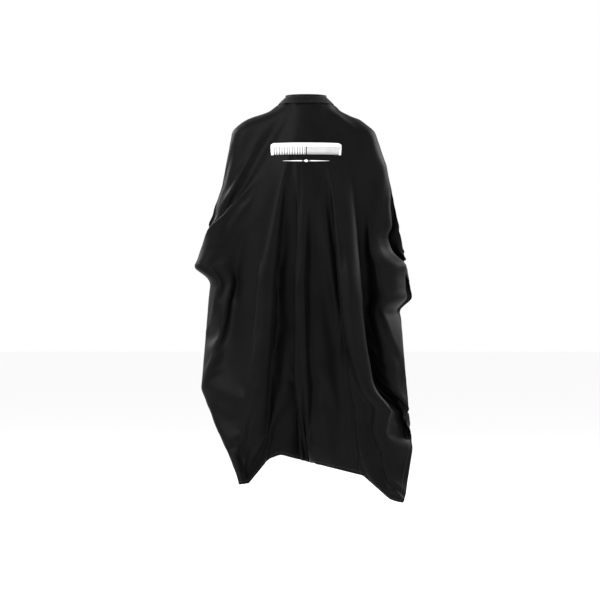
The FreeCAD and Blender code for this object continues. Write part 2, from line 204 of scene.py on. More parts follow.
def on_band(azimuth, slant, depth):
    """A point at a depth outward from the band's inner face, round the bend at the lip's foot."""
    bend = 0.004
    blend = smoothstep((slant + bend) / (2 * bend))
    upright, _, out = band_frame(azimuth, min(slant, -1e-6))
    sloped, _, up = band_frame(azimuth, max(slant, 0))
    corner = (1 - math.sin(FLARE)) / math.cos(FLARE) * depth
    if slant < 0:
        base = upright
        normal = out.lerp(up, blend)
        return base + normal * depth + Vector((0, 0, corner * blend * 0.3))
    normal = out.lerp(up, blend)
    return sloped + normal * depth


def ripple(azimuth, slant, size):
    """A gentle unevenness of sewn cloth round the band."""
    place = Vector((math.cos(azimuth) * 9, math.sin(azimuth) * 9, slant * 90))
    return size * (noise.noise(place) + 0.5 * noise.noise(place * 2.7))


# stitch rows, as slants down the band
BAND_ROWS = (-0.0035, 0.0045, BAND_SLANT - STITCH_INSET)


def quilting(slant):
    """How far the stitch rows pull the cloth in."""
    return sum(math.exp(-((slant - row) / 0.0013) ** 2) for row in BAND_ROWS)


def band_stretch(turn):
    """An azimuth along the band, from its end behind the wearer's right to the other end."""
    return CLOSING + END_GAP / 2 + turn * (2 * math.pi - END_GAP)


def band_cloth(name, face_depth, back_depth, outward, material):
    """One cloth layer of the band: its seen face ripples and dips at the stitch rows."""
    maker = MeshMaker()
    rows = 30
    top = -LIP_HEIGHT
    rings = []
    for i in range(BAND_COLUMNS + 1):
        azimuth = band_stretch(i / BAND_COLUMNS)
        ring = []
        for j in range(rows + 1):
            slant = top + (BAND_SLANT - top) * j / rows
            edge = min(j, rows - j) / rows
            puff = 0.00035 * smoothstep(edge * 8) - 0.00030 * quilting(slant)
            puff += ripple(azimuth, slant, 0.00028)
            ring.append(on_band(azimuth, slant, face_depth + outward * max(puff, 0.0)))
        for j in range(rows, -1, -1):
            slant = top + (BAND_SLANT - top) * j / rows
            ring.append(on_band(azimuth, slant, back_depth))
        rings.append(ring)
    maker.rings(rings)
    return maker.make(name, material)


def band_edges(material):
    """The outer cloth turns over every edge of the band: top, foot and both ends."""
    maker = MeshMaker()
    rows = 24
    half = BAND_THICK / 2 + 0.00025
    turns = ring_angles(14)
    for edge_slant, reach in ((-LIP_HEIGHT, 0.0009), (BAND_SLANT, 0.0013)):
        rings = []
        for i in range(BAND_COLUMNS + 1):
            azimuth = band_stretch(i / BAND_COLUMNS)
            swell = 1 + ripple(azimuth, edge_slant, 0.12)
            rings.append([
                on_band(
                    azimuth,
                    edge_slant + reach * math.sin(turn) * swell,
                    BAND_THICK / 2 + half * math.cos(turn),
                )
                for turn in turns
            ])
        maker.rings(rings)
    for end, inward in ((0.0, 1), (1.0, -1)):
        azimuth = band_stretch(end)
        rings = []
        for j in range(rows + 1):
            slant = -LIP_HEIGHT + (BAND_SLANT + LIP_HEIGHT) * j / rows
            radius = on_band(0, slant, 0).x
            rings.append([
                on_band(
                    azimuth + inward * (0.0005 + 0.0009 * math.sin(turn)) / radius,
                    slant,
                    BAND_THICK / 2 + half * math.cos(turn),
                )
                for turn in turns
            ])
        maker.rings(rings)
    return maker.make("neckband_turned_edges", material)


# ------------------------------------------------------------------------------------- stitching
def stitch(maker, start, end, normal, thickness):
    """One stitch of thread: it rises from the cloth, lies along it and dips back in."""
    sides, rings_count = 6, 5
    along = (end - start).normalized()
    side = along.cross(normal).normalized()
    rings = []
    for i in range(rings_count):
        t = i / (rings_count - 1)
        rise = math.sin(math.pi * t) ** 0.6 if 0 < t < 1 else 0.0
        width = thickness / 2 * (0.55 + 0.45 * rise)
        centre = start.lerp(end, t) + normal * (thickness * (0.55 * rise - 0.30))
        rings.append([
            centre + side * (width * math.cos(angle)) + normal * (width * math.sin(angle))
            for angle in ring_angles(sides)
        ])
    maker.rings(rings)


def stitch_row(maker, place, length, pitch=0.0034, gap=0.0008, thickness=0.00055):
    """Stitches along a line: place(distance) gives a point and the surface's normal."""
    count = int(length / pitch)
    step = length / count
    for i in range(count):
        start, normal = place(i * step + gap / 2)
        end, _ = place((i + 1) * step - gap / 2)
        if (end - start).length > 0.0005:
            stitch(maker, start, end, normal, thickness)


def band_stitches(material):
    maker = MeshMaker()
    for row in BAND_ROWS:
        for side, depth in ((1, BAND_THICK), (-1, 0.0)):
            radius = on_band(0, row, depth).x
            length = radius * (2 * math.pi - END_GAP) - 0.006
            margin = 0.003 / radius

            def place(distance, row=row, side=side, depth=depth, radius=radius, margin=margin):
                azimuth = CLOSING + END_GAP / 2 + margin + distance / radius
                point = on_band(azimuth, row, depth + side * 0.0001)
                _, _, normal = band_frame(azimuth, row)
                return point, normal * side

            stitch_row(maker, place, length)
    return maker.make("neckband_stitching", material)


# ------------------------------------------------------------------------------- the closure tab
TAB_ROOT = CLOSING + math.radians(0.2)
TAB_SEWN = math.radians(11)          # the part sewn to the band's other end
TAB_END = TAB_ROOT + TAB_ANGLE
TAB_CORNER = 0.012
TAB_MIDDLE = TAB_TOP + TAB_WIDTH / 2
TAB_DEPTH = BAND_THICK + TAB_GAP + BAND_THICK / 2
SEWN_DEPTH = BAND_THICK + BAND_THICK / 2 + 0.0004


def tab_depth(azimuth):
    """The middle of the tab's thickness: low on the band where it is sewn, raised over the snaps."""
    rise = smoothstep((azimuth - (TAB_ROOT - math.radians(5))) / math.radians(6))
    return SEWN_DEPTH + (TAB_DEPTH - SEWN_DEPTH) * rise


def tab_half_width(azimuth):
    """Half the tab's width, which rounds off at the free end."""
    radius = on_band(0, TAB_MIDDLE, TAB_DEPTH).x
    to_end = (TAB_END - azimuth) * radius
    if to_end >= TAB_CORNER:
        return TAB_WIDTH / 2
    short = TAB_CORNER - max(to_end, 0.0)
    return TAB_WIDTH / 2 - TAB_CORNER + math.sqrt(max(TAB_CORNER ** 2 - short ** 2, 0.0))


def tab_cloth(material):
    """The tab as one padded strip: its layers can't be told apart once they are sewn."""
    maker = MeshMaker()
    start = TAB_ROOT - TAB_SEWN
    radius = on_band(0, TAB_MIDDLE, TAB_DEPTH).x
    length = (TAB_END - start) * radius
    distances = [length * i / 70 for i in range(66)]
    distances += [length - 0.005 * (1 - k / 14) ** 2 for k in range(15)]
    distances = sorted(set(distances))
    rings = []
    for distance in distances:
        azimuth = start + distance / radius
        half = max(tab_half_width(azimuth), 0.001)
        from_end = min(distance, length - distance)
        full = BAND_THICK / 2 * (0.45 + 0.55 * math.sqrt(smoothstep(from_end / 0.0022)))
        ring = []
        for angle in ring_angles(40):
            across = squared(math.cos(angle), 0.5)
            through = squared(math.sin(angle), 0.38)
            row_dip = math.exp(-((abs(across) * half - (half - STITCH_INSET)) / 0.0011) ** 2)
            end_dip = math.exp(-((from_end - STITCH_INSET) / 0.0011) ** 2)
            thick = full * through * (1 - 0.22 * max(row_dip, end_dip))
            thick += ripple(azimuth * 3, across * 0.015, 0.00012) * abs(through)
            ring.append(on_band(azimuth, TAB_MIDDLE + half * across, tab_depth(azimuth) + thick))
        rings.append(ring)
    maker.rings(rings)
    return maker.make("closure_tab_cloth", material)


def tab_stitches(material):
    """A row of stitches round the tab, and a box where it is sewn down."""
    maker = MeshMaker()
    radius = on_band(0, TAB_MIDDLE, TAB_DEPTH).x
    start = TAB_ROOT - TAB_SEWN + STITCH_INSET / radius
    straight = (TAB_END - start) * radius - TAB_CORNER
    corner = TAB_CORNER - STITCH_INSET
    half = TAB_WIDTH / 2 - STITCH_INSET
    outline = [(straight * k / 30, half) for k in range(31)]
    outline += [
        (straight + corner * math.sin(a), half - corner * (1 - math.cos(a)))
        for a in [math.pi / 2 * k / 8 for k in range(1, 9)]
    ]
    outline += [(x, -y) for x, y in reversed(outline)]
    outline.append(outline[0])
    box = [(0.0075, half), (0.0075, -half)]
    for line in (outline, box):
        points = [Vector((x, y)) for x, y in line]
        lengths = [0.0]
        for a, b in zip(points, points[1:]):
            lengths.append(lengths[-1] + (b - a).length)

        def place(distance, points=points, lengths=lengths):
            k = max(i for i in range(len(lengths) - 1) if lengths[i] <= distance + 1e-9)
            share = (distance - lengths[k]) / max(lengths[k + 1] - lengths[k], 1e-9)
            spot = points[k].lerp(points[k + 1], min(share, 1.0))
            azimuth = start + spot.x / radius
            depth = tab_depth(azimuth) + BAND_THICK / 2 * 0.80
            _, _, normal = band_frame(azimuth, TAB_MIDDLE + spot.y)
            return on_band(azimuth, TAB_MIDDLE + spot.y, depth), normal

        stitch_row(maker, place, lengths[-1] - 1e-6, pitch=0.0031)
    return maker.make("closure_tab_stitching", material)


# --------------------------------------------------------------------------------- snap fasteners
def lathe(maker, azimuth, base_depth, profile, segments=40):
    """Turns (radius, height) points about a snap's axis; height is outward from base_depth."""
    centre, down, normal = band_frame(azimuth, SNAP_SLANT)
    side = normal.cross(down)
    rings = []
    for angle in ring_angles(segments):
        out = down * math.cos(angle) + side * math.sin(angle)
        rings.append([centre + out * r + normal * (base_depth + h) for r, h in profile])
    maker.rings(rings, closed=True)


def rounded(profile, radius=0.00018):
    """A closed turning profile with its sharp corners eased by short bevels."""
    eased = []
    count = len(profile)
    for k in range(count):
        before, here, after = (Vector(profile[(k + d) % count]) for d in (-1, 0, 1))
        for other in (before, after):
            reach = min(radius, (other - here).length * 0.4)
            eased.append(tuple(here + (other - here).normalized() * reach))
    return eased


MM = 0.001
# (radius, height) in millimetres
CAP_PROFILE = [
    (0.05, 0.0), (6.2, 0.0), (6.35, 0.35), (6.2, 0.80), (5.7, 1.15), (5.2, 1.12), (4.8, 0.95),
    (4.3, 1.10), (3.2, 1.45), (1.8, 1.62), (0.05, 1.66),
]
SOCKET_PROFILE = [
    (2.6, -1.6), (3.0, -1.6), (3.4, -1.45), (3.7, -1.1), (4.2, -0.8), (5.0, -0.7), (5.1, -0.4),
    (5.0, 0.0), (2.6, 0.0),
]
STUD_PROFILE = [
    (1.15, 0.0), (5.0, 0.0), (5.05, 0.25), (4.85, 0.45), (3.6, 0.55), (2.2, 0.62), (1.75, 0.8),
    (1.8, 1.1), (2.0, 1.35), (1.9, 1.65), (1.6, 1.8), (1.15, 1.8),
]
POST_PROFILE = [
    (0.05, -0.8), (3.4, -0.8), (4.5, -0.62), (5.0, -0.3), (5.0, 0.0), (1.1, 0.0), (1.1, 3.9),
    (0.7, 4.1), (0.05, 4.1),
]


def snap_pieces(name, profile, base_depth, count, material):
    maker = MeshMaker()
    metres = [(r * MM, h * MM) for r, h in profile]
    for k in range(count):
        lathe(maker, CLOSING + FIRST_SNAP + SNAP_PITCH * k, base_depth, rounded(metres))
    return maker.make(name, material)


# ------------------------------------------------------------------------------ the sheet, flat
def flat_sheet(step):
    """Flat points (u, v, side) and quads: a rectangle with a neck hole and a slit to the back.

    side is -1 or 1 on the two edges of the slit and 0 elsewhere.
    """
    right = round(SHEET_RIGHT_SIDE / step)
    left = round(SHEET_LEFT_SIDE / step)
    front = round(SHEET_FRONT / step)
    back = round(SHEET_BACK / step)
    us = [-SHEET_RIGHT_SIDE * (1 - i / right) for i in range(right)]
    us += [SHEET_LEFT_SIDE * i / left for i in range(left + 1)]
    vs = [-SHEET_FRONT * (1 - j / front) for j in range(front)]
    vs += [SHEET_BACK * j / back for j in range(back + 1)]
    index = {}
    flat = []
    quads = []

    def corner(i, j, side):
        key = (i, j, side if i == right and vs[j] > 0 else 0)
        if key not in index:
            index[key] = len(flat)
            flat.append((us[i], vs[j], key[2]))
        return index[key]

    for i in range(len(us) - 1):
        for j in range(len(vs) - 1):
            middle = math.hypot((us[i] + us[i + 1]) / 2, (vs[j] + vs[j + 1]) / 2)
            if middle > SEAM_RADIUS + step * 0.25:
                side = 1 if i >= right else -1
                quads.append(tuple(corner(a, b, side) for a, b in (
                    (i, j), (i + 1, j), (i + 1, j + 1), (i, j + 1))))
    flat = np.array(flat)
    return snapped_hole(flat, quads, step * 2.2), quads


def border_points(quads):
    """The points on a free edge of the mesh."""
    uses = {}
    for quad in quads:
        for a, b in zip(quad, quad[1:] + quad[:1]):
            key = (min(a, b), max(a, b))
            uses[key] = uses.get(key, 0) + 1
    return sorted({k for edge, count in uses.items() if count == 1 for k in edge})


def hole_points(flat, quads, reach):
    """The border points round the neck hole, with the first of each slit edge."""
    near = [k for k in border_points(quads)
            if math.hypot(flat[k, 0], flat[k, 1]) < SEAM_RADIUS + reach]
    first = min(flat[k, 1] for k in near if flat[k, 2] != 0)
    return [k for k in near if flat[k, 2] == 0 or flat[k, 1] < first + 1e-6]


def snapped_hole(flat, quads, reach):
    """Moves the hole's border onto the neck seam's circle."""
    for k in hole_points(flat, quads, reach):
        flat[k, :2] *= SEAM_RADIUS / math.hypot(flat[k, 0], flat[k, 1])
    return flat


def cut_width(v):
    """The sheet's width at v as a share of its full width: it tapers towards the front hem."""
    way = np.clip((TAPER_FROM - v) / (TAPER_FROM + SHEET_FRONT), 0, 1)
    return 1 - (1 - HEM_SHARE) * way


# ----------------------------------------------------------------------- the sheet, as it is worn
# Where the sheet's edge hangs: a flat place on the edge, then X, Y, Z. From the back opening over
# the wearer's left side and the front to the right side.
LEFT, RIGHT, FRONT, BACK = SHEET_LEFT_SIDE, -SHEET_RIGHT_SIDE, -SHEET_FRONT, SHEET_BACK
WORN_EDGE = [
    (0.00, BACK, 0.004, 0.146, -0.325),
    (0.20, BACK, 0.110, 0.156, -0.355),
    (0.45, BACK, 0.250, 0.126, -0.470),
    (0.64, BACK, 0.325, 0.080, -0.610),
    (LEFT, BACK, 0.345, 0.045, -0.672),
    (LEFT, 0.10, 0.345, 0.005, -0.685),
    (LEFT, -0.10, 0.318, -0.035, -0.715),
    (LEFT, -0.35, 0.323, -0.060, -0.830),
    (LEFT, -0.60, 0.340, -0.080, -0.990),
    (LEFT, -0.85, 0.354, -0.100, -1.130),
    (LEFT, -1.06, 0.350, -0.125, -1.245),
    (LEFT, FRONT, 0.308, -0.165, -1.345),
    (0.62, FRONT, 0.258, -0.185, -1.310),
    (0.45, FRONT, 0.198, -0.205, -1.258),
    (0.22, FRONT, 0.105, -0.216, -1.240),
    (0.00, FRONT, 0.0, -0.220, -1.206),
    (-0.22, FRONT, -0.087, -0.216, -1.188),
    (-0.42, FRONT, -0.160, -0.203, -1.250),
    (-0.56, FRONT, -0.208, -0.183, -1.284),
    (RIGHT, FRONT, -0.252, -0.165, -1.292),
    (RIGHT, -1.06, -0.270, -0.130, -1.190),
    (RIGHT, -0.85, -0.318, -0.105, -1.090),
    (RIGHT, -0.60, -0.346, -0.085, -0.985),
    (RIGHT, -0.35, -0.335, -0.065, -0.850),
    (RIGHT, -0.10, -0.318, -0.035, -0.640),
    (RIGHT, 0.10, -0.358, 0.010, -0.590),
    (RIGHT, BACK, -0.362, 0.045, -0.572),
    (-0.56, BACK, -0.305, 0.086, -0.510),
    (-0.40, BACK, -0.220, 0.130, -0.430),
    (-0.18, BACK, -0.100, 0.156, -0.355),
    (0.00, BACK, -0.004, 0.146, -0.325),
]
# Half width, half depth and height of the ovals that the cloth passes on its way down.
WORN_OVALS = [
    (0.101, 0.101, -0.037),
    (0.150, 0.122, -0.050),
    (0.200, 0.136, -0.070),
    (0.236, 0.142, -0.112),
]


def flat_azimuths():
    """The stations' azimuths round the neck, falling from 90 to -270 degrees."""
    azimuths = []
    for k, station in enumerate(WORN_EDGE):
        azimuth = math.degrees(math.atan2(station[1], station[0]))
        azimuths.append(azimuth - 360 if k > 0 and azimuth > 89.999 else azimuth)
    return np.array(azimuths)


STATION_AZIMUTHS = flat_azimuths()
STATION_POINTS = np.array([station[2:] for station in WORN_EDGE])


def edge_point(azimuth):
    """A smooth curve through the stations."""
    knots = -STATION_AZIMUTHS
    i = int(np.clip(np.searchsorted(knots, -azimuth) - 1, 0, len(knots) - 2))
    ends = [STATION_POINTS[int(np.clip(i + d, 0, len(knots) - 1))] for d in (-1, 0, 1, 2)]
    span = knots[i + 1] - knots[i]
    share = (-azimuth - knots[i]) / span
    ease = 0.6
    before = knots[i + 1] - knots[max(i - 1, 0)]
    after = knots[min(i + 2, len(knots) - 1)] - knots[i]
    slope_in = (ends[2] - ends[0]) / before * span * ease
    slope_out = (ends[3] - ends[1]) / after * span * ease
    square, cube = share ** 2, share ** 3
    return (
        (2 * cube - 3 * square + 1) * ends[1]
        + (cube - 2 * square + share) * slope_in
        + (3 * square - 2 * cube) * ends[2]
        + (cube - square) * slope_out
    )


def reach_of_sheet(angle):
    """From the neck's centre to the flat sheet's edge, in a direction."""
    c, s = math.cos(angle), math.sin(angle)
    reaches = []
    for part, low, high in ((c, RIGHT, LEFT), (s, FRONT, BACK)):
        if abs(part) > 1e-9:
            reaches.append((high if part > 0 else low) / part)
    return min(reaches)


def worn_point(u, v, side):
    """Where a flat point lies at the start of the drape."""
    azimuth = math.degrees(math.atan2(v, u))
    if azimuth > 90 or (abs(azimuth - 90) < 1e-6 and side < 0):
        azimuth -= 360
    angle = math.radians(azimuth)
    c, s = math.cos(angle), math.sin(angle)
    path = [np.array((SEAM_RADIUS * c, SEAM_RADIUS * s, SEAM_HEIGHT))]
    for half_width, half_depth, height in WORN_OVALS:
        radius = 1 / math.hypot(c / half_width, s / half_depth)
        path.append(np.array((radius * c, radius * s, height)))
    path.append(edge_point(azimuth))
    legs = [np.linalg.norm(b - a) for a, b in zip(path, path[1:])]
    share = (math.hypot(u, v) - SEAM_RADIUS) / (reach_of_sheet(angle) - SEAM_RADIUS)
    left = max(0.0, min(1.0, share)) * sum(legs)
    for a, b, leg in zip(path, path[1:], legs):
        if left <= leg or b is path[-1]:
            return a + (b - a) * min(1.0, left / leg)
        left -= leg


FIRST_FOLDS = 14
FIRST_FOLD_DEPTH = 0.07
FIRST_FOLD_TURN = 2.15       # puts a fold's front on the centre of the chest
CALM_CHEST = 0.08            # no folds start nearer to the neck than this


def worn_start(flat):
    """The whole sheet's start, with shallow folds that tell the cloth where to gather."""
    start = np.array([worn_point(u, v, side or math.copysign(1, u)) for u, v, side in flat])
    distance = np.hypot(flat[:, 0], flat[:, 1]) - SEAM_RADIUS
    azimuth = np.arctan2(flat[:, 1], flat[:, 0])
    depth = FIRST_FOLD_DEPTH * np.clip((distance - CALM_CHEST) / 0.5, 0, 1) ** 1.5
    uneven = 1.3 * np.sin(azimuth * 3 + 0.7) + FIRST_FOLD_TURN
    start[:, 1] -= depth * np.cos(azimuth * FIRST_FOLDS + uneven)
    start[:, 0] += 0.004 * flat[:, 2]
    return start


# ------------------------------------------------------------------------------ the hidden wearer
# shoulder, elbow, wrist and hand of each arm
ARMS = (
    (Vector((-0.185, 0.005, -0.128)), Vector((-0.270, 0.005, -0.430)),
     Vector((-0.322, -0.010, -0.640)), Vector((-0.330, -0.040, -0.720))),
    (Vector((0.180, 0.005, -0.132)), Vector((0.252, 0.005, -0.440)),
     Vector((0.298, -0.010, -0.700)), Vector((0.305, -0.040, -0.780))),
)
# centre and half sizes of the chest, waist and hips
TRUNK = (
    (Vector((0, -0.005, -0.30)), (0.180, 0.118, 0.24)),
    (Vector((0, 0.0, -0.62)), (0.165, 0.115, 0.30)),
    (Vector((0, 0.01, -0.85)), (0.180, 0.120, 0.20)),
)


def hidden_wearer():
    """A plain body form for the cloth to rest on. It isn't part of the object."""
    form = bmesh.new()

    def ball(centre, radii):
        place = Matrix.Translation(centre) @ Matrix.Diagonal((*radii, 1))
        bmesh.ops.create_icosphere(form, subdivisions=3, radius=1, matrix=place)

    def limb(start, end, start_radius, end_radius, count):
        for i in range(count + 1):
            radius = start_radius + (end_radius - start_radius) * i / count
            ball(start.lerp(end, i / count), (radius, radius, radius))

    limb(Vector((0, 0, 0)), Vector((0, 0, -0.12)), 0.060, 0.070, 14)
    for shoulder, elbow, wrist, hand in ARMS:
        collar = Vector((math.copysign(0.04, shoulder.x), 0.005, -0.090))
        limb(collar, shoulder, 0.052, 0.050, 14)
        limb(shoulder, elbow, 0.052, 0.042, 26)
        limb(elbow, wrist, 0.042, 0.030, 22)
        limb(wrist, hand, 0.032, 0.034, 8)
        hip = Vector((math.copysign(0.09, shoulder.x), 0, -0.85))
        limb(hip, hip + Vector((math.copysign(0.01, hip.x), 0, -0.65)), 0.085, 0.05, 20)
    for centre, radii in TRUNK:
        ball(centre, radii)
    mesh = bpy.data.meshes.new("hidden_wearer")
    form.to_mesh(mesh)
    form.free()
    wearer = bpy.data.objects.new("hidden_wearer", mesh)
    scene.collection.objects.link(wearer)
    remesh = wearer.modifiers.new("remesh", "REMESH")
    remesh.mode = "VOXEL"
    remesh.voxel_size = 0.012
    smooth = wearer.modifiers.new("smooth", "SMOOTH")
    smooth.iterations = 12
    smooth.factor = 0.6
    wearer.data = evaluated_mesh(wearer)
    wearer.modifiers.clear()
    wearer.modifiers.new("collision", "COLLISION")
    wearer.collision.thickness_outer = 0.006
    wearer.collision.thickness_inner = 0.02
    wearer.collision.cloth_friction = 10
    return wearer


def evaluated_mesh(piece):
    graph = bpy.context.evaluated_depsgraph_get()
    return bpy.data.meshes.new_from_object(piece.evaluated_get(graph))


def mesh_points(mesh):
    points = np.empty(len(mesh.vertices) * 3)
    mesh.vertices.foreach_get("co", points)
    return points.reshape(-1, 3)


# ---------------------------------------------------------------------------- draping the sheet
# Soft holds at the edge, as a hand or a leg under the cloth would give: flat place, reach, strength.
HOLDS = (
    (LEFT, FRONT, 0.12, 0.6),
    (RIGHT, FRONT, 0.12, 0.6),
    (LEFT, -0.90, 0.12, 0.5),
    (RIGHT, -0.70, 0.12, 0.3),
)
CLOTH_SETTINGS = {
    "pin_stiffness": 1,
    "mass": 0.15,
    "air_damping": 1.5,
    "tension_stiffness": 15,
    "compression_stiffness": 15,
    "shear_stiffness": 5,
    "tension_damping": 5,
    "compression_damping": 5,
    "shear_damping": 5,
    "bending_damping": 0.5,
}


def drape(start, flat, quads, reach, frames, bending, quality, clearance):
    """Lets the cloth fall from start, at its flat size, and returns where its points come to rest."""
    mesh = bpy.data.meshes.new("drape")
    mesh.from_pydata([tuple(p) for p in start], [], quads)
    cloth = bpy.data.objects.new("drape", mesh)
    scene.collection.objects.link(cloth)
    cloth.shape_key_add(name="worn")
    rest = cloth.shape_key_add(name="flat")
    cut = np.c_[flat[:, 0] * cut_width(flat[:, 1]), flat[:, 1], np.zeros(len(flat))]
    rest.data.foreach_set("co", cut.ravel())
    rest.value = 0
    pins = cloth.vertex_groups.new(name="pins")
    pins.add([int(k) for k in hole_points(flat, quads, reach)], 1.0, "REPLACE")
    for u, v, radius, strength in HOLDS:
        for k in np.nonzero(np.hypot(flat[:, 0] - u, flat[:, 1] - v) < radius)[0]:
            away = math.hypot(flat[k, 0] - u, flat[k, 1] - v) / radius
            pins.add([int(k)], strength * (1 - away), "REPLACE")
    fall = cloth.modifiers.new("cloth", "CLOTH")
    settings = fall.settings
    settings.rest_shape_key = rest
    settings.vertex_group_mass = "pins"
    settings.quality = quality
    settings.bending_stiffness = bending
    for key, value in CLOTH_SETTINGS.items():
        setattr(settings, key, value)
    contact = fall.collision_settings
    contact.collision_quality = 3
    contact.distance_min = clearance
    contact.use_self_collision = True
    contact.self_distance_min = clearance
    contact.self_friction = 4
    scene.frame_start = 1
    scene.frame_end = frames
    fall.point_cache.frame_end = frames
    for number in range(1, frames + 1):
        scene.frame_set(number)
    points = mesh_points(evaluated_mesh(cloth))
    bpy.data.objects.remove(cloth)
    scene.frame_set(1)
    return points


def subdivided(points, quads):
    """One level of smooth subdivision that keeps the sheet's corners."""
    mesh = bpy.data.meshes.new("finer")
    mesh.from_pydata([tuple(p) for p in points], [], quads)
    piece = bpy.data.objects.new("finer", mesh)
    scene.collection.objects.link(piece)
    finer = piece.modifiers.new("finer", "SUBSURF")
    finer.levels = 1
    finer.boundary_smooth = "PRESERVE_CORNERS"
    result = evaluated_mesh(piece)
    bpy.data.objects.remove(piece)
    return mesh_points(result), [tuple(face.vertices) for face in result.polygons]


def finer_sheet(worn, flat, quads):
    """The worn and the flat sheet with every quad split in four."""
    worn, split = subdivided(worn, quads)
    # the slit's side numbers ride along as the flat sheet's height
    flat, _ = subdivided(flat, quads)
    on_slit = (np.abs(flat[:, 0]) < 1e-5) & (flat[:, 1] > SEAM_RADIUS / 2)
    border = np.zeros(len(flat), bool)
    border[border_points(split)] = True
    flat[:, 2] = np.where(on_slit & border, np.sign(flat[:, 2]), 0)
    return worn, flat, split


SLEEVE_FROM = 0.36           # across the sheet, where the arms lie
SLEEVE_FOOT = -0.42
CALM_ROUNDS = 26


def calmed_sleeves(points, flat, quads):
    """Smooths the small crumples where the cloth bunches beside the arms."""
    edges = np.array(quads)
    ends = np.concatenate([edges, np.roll(edges, -1, axis=1)]).ravel()
    others = np.concatenate([np.roll(edges, -1, axis=1), edges]).ravel()
    degree = np.bincount(ends, minlength=len(points))
    across = np.clip((np.abs(flat[:, 0]) - SLEEVE_FROM) / 0.15, 0, 1)
    down = np.clip((flat[:, 1] - SLEEVE_FOOT) / 0.20, 0, 1)
    weight = (across * down)[:, None]
    points = points.copy()
    for _ in range(CALM_ROUNDS):
        sums = [np.bincount(ends, points[others, axis], len(points)) for axis in range(3)]
        points += 0.6 * weight * (np.stack(sums, axis=1) / degree[:, None] - points)
    return points


def draped_sheet():
    """The sheet as it hangs: coarse for the large folds, then finer for the small ones."""
    flat, quads = flat_sheet(COARSE_STEP)
    worn = worn_start(flat)
    wearer = hidden_wearer()
    frames = COARSE_FRAMES
    worn = drape(
        worn, flat, quads, reach=COARSE_STEP * 2.2, frames=frames, bending=0.2, quality=7, clearance=0.006)
    worn, flat, quads = finer_sheet(worn, flat, quads)
    worn = drape(
        worn, flat, quads, reach=0.004, frames=FINE_FRAMES, bending=0.6, quality=6, clearance=0.004)
    bpy.data.objects.remove(wearer)
    return finer_sheet(worn, flat, quads)


# ------------------------------------------------------------------------- the outline when worn
# Height and half width of the worn cape's outline down each side, and its hem as X and height.
OUTLINE_RIGHT = [
    (-0.035, 0.100), (-0.075, 0.205), (-0.115, 0.245), (-0.295, 0.280), (-0.575, 0.375),
    (-0.620, 0.320), (-0.980, 0.350), (-1.110, 0.300), (-1.210, 0.255), (-1.300, 0.255),
]
OUTLINE_LEFT = [
    (-0.035, 0.095), (-0.075, 0.185), (-0.115, 0.230), (-0.235, 0.270), (-0.555, 0.335),
    (-0.675, 0.355), (-0.715, 0.315), (-0.900, 0.330), (-1.180, 0.355), (-1.310, 0.335),
    (-1.355, 0.315),
]
OUTLINE_HEM = [
    (-0.255, -1.300), (-0.190, -1.290), (-0.125, -1.210), (-0.085, -1.195), (0.050, -1.230),
    (0.190, -1.265), (0.280, -1.345), (0.315, -1.355),
]
TOP_LEVEL = -0.045
FOOT_LEVEL = -1.36
LEVEL_STEP = 0.01
EASE_ROUNDS = 3
STILL_SIDE = 0.45            # share of the half width, from the middle, that isn't moved
STILL_FRONT = 0.75           # down the front panel, where its hem starts to move
MOST_EASED = 0.07            # no point moves farther than this in a round


def seen_from_front(points):
    """X and height of points projected on the plane through the neck, and their enlargement."""
    nearness = CAMERA_DISTANCE / (CAMERA_DISTANCE + points[:, 1])
    across = CAMERA_X + (points[:, 0] - CAMERA_X) * nearness
    height = CAMERA_Z + (points[:, 2] - CAMERA_Z) * nearness
    return across, height, nearness


def smoothed(values, reach):
    """Values averaged with their neighbours by a bell curve."""
    bell = np.exp(-np.linspace(-2, 2, 2 * reach + 1) ** 2)
    return np.convolve(np.pad(values, reach, mode="edge"), bell / bell.sum(), mode="valid")


def eased_share(share):
    return share ** 2 * (3 - 2 * share)


def sides_eased(points):
    """Moves the cloth near each side in or out, level by level, to the worn outline."""
    across, height, nearness = seen_from_front(points)
    levels = np.arange(TOP_LEVEL, FOOT_LEVEL, -LEVEL_STEP)
    moved = across.copy()
    for sign, outline in ((-1, OUTLINE_RIGHT), (1, OUTLINE_LEFT)):
        widest = []
        for level in levels:
            there = np.abs(height - level) < 0.9 * LEVEL_STEP
            widest.append((sign * across[there]).max() if there.any() else 0.05)
        wanted = np.interp(levels, *np.array(outline)[::-1].T)
        widest = np.maximum(widest, 0.05)
        gaps = np.clip(wanted - widest, -MOST_EASED, MOST_EASED)
        # the corner below the outline's last bend moves as one with the cloth above it
        foot = levels < outline[-2][0]
        gaps[foot] = gaps[~foot][-1]
        gaps = smoothed(gaps, 3)
        here = np.interp(height, levels[::-1], widest[::-1])
        gap = np.interp(height, levels[::-1], gaps[::-1])
        share = np.clip((sign * across / here - STILL_SIDE) / (1 - STILL_SIDE), 0, 1)
        side = sign * across > 0
        moved[side] += (sign * gap * eased_share(share))[side]
    eased = points.copy()
    free = np.clip((SEAM_HEIGHT - 0.002 - points[:, 2]) / 0.02, 0, 1)
    eased[:, 0] += (moved - across) / nearness * free
    return eased


def hem_eased(points, flat):
    """Raises or lowers the foot of the front panel to the worn hem."""
    across, height, nearness = seen_from_front(points)
    u, v = flat[:, 0], flat[:, 1]
    edge = np.nonzero(v < FRONT + 1e-6)[0]
    edge = edge[np.argsort(u[edge])]
    wanted = np.interp(across[edge], *np.array(OUTLINE_HEM).T)
    gaps = smoothed(np.clip(wanted - height[edge], -MOST_EASED, MOST_EASED), 6)
    share = np.clip((-v - STILL_FRONT) / (SHEET_FRONT - STILL_FRONT), 0, 1)
    eased = points.copy()
    eased[:, 2] += np.interp(u, u[edge], gaps) * eased_share(share) / nearness
    return eased


